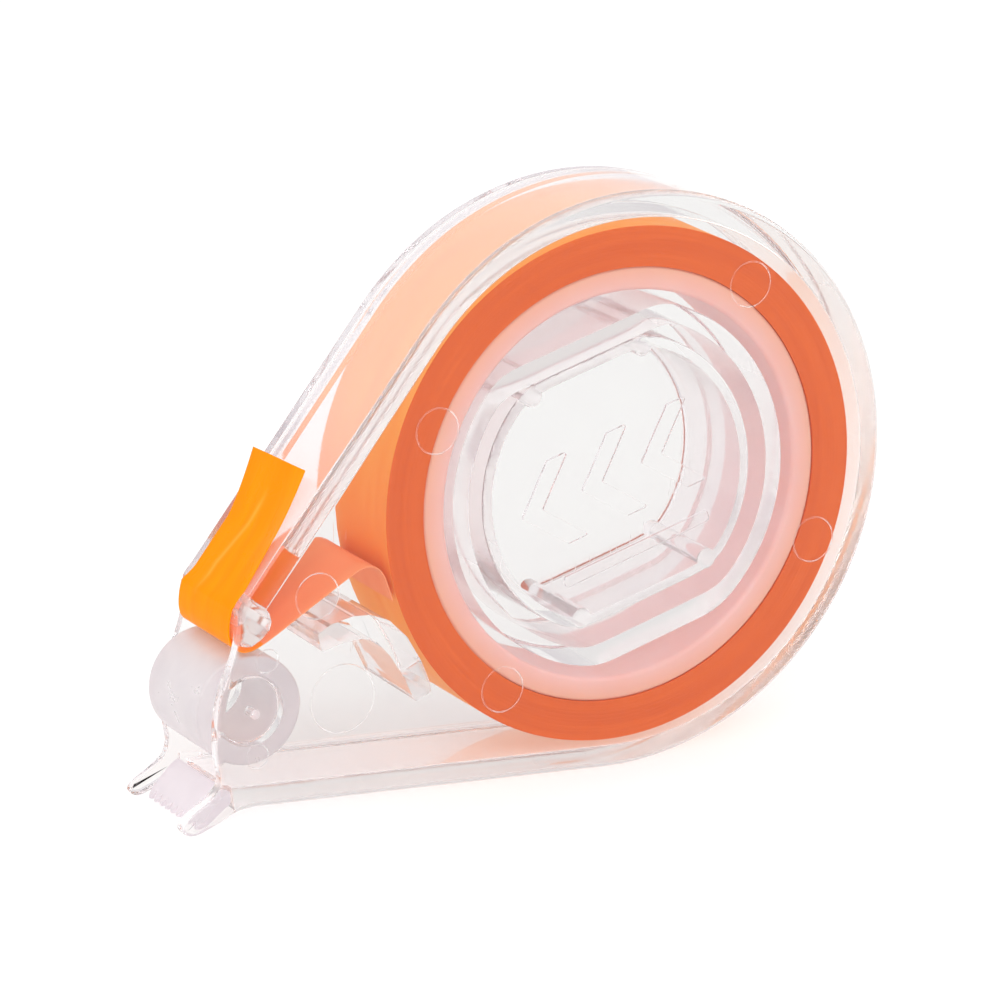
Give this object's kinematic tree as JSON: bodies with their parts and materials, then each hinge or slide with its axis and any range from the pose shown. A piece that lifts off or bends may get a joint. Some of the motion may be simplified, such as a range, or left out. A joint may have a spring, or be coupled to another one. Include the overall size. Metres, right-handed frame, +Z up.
{
  "type": "adhesive tape hand dispenser",
  "caption": "Teardrop clear-plastic hand dispenser with an orange tape roll on a core, an applicator roller and a serrated cutter at its tip.",
  "frame": {"origin": "middle of the base of the upright dispenser, on the surface it stands on", "axes": "+Z up, front face of the case towards -Y, cutter and applicator roller towards -X"},
  "size_m": [0.0916, 0.0164, 0.0691],
  "materials": {
    "clear_plastic": "clear moulded plastic, polished",
    "clear_plastic_rear": "clear moulded plastic, polished",
    "core_plastic": "translucent salmon-pink core, satin",
    "wound_tape": "edges of wound orange tape with fine layer lines",
    "tape_strip": "bright orange tape backing, semi-gloss",
    "milky_plastic": "milky translucent plastic, satin",
    "frosted_plastic": "frosted clear plastic"
  },
  "bodies": {
    "case": {"front_shell": "clear_plastic", "tape_leader": "tape_strip", "cutter_blade": "frosted_plastic"},
    "cover": {"rear_shell": "clear_plastic_rear"},
    "tape": {"tape_core": "core_plastic", "tape_roll": "wound_tape"},
    "roller": {"applicator_roller": "milky_plastic"}
  },
  "joints": [
    {"name": "roll_spin", "type": "hinge", "parent": "case", "child": "tape", "pos_m": [0.01121, 0, 0.03392], "axis": [0, 1, 0], "continuous": true},
    {"name": "roller_spin", "type": "hinge", "parent": "case", "child": "roller", "pos_m": [-0.03675, 0, 0.01361], "axis": [0, 1, 0], "continuous": true},
    {"name": "cover_off", "type": "slide", "parent": "case", "child": "cover", "axis": [0, 1, 0], "range_m": [0, 0.02]}
  ]
}
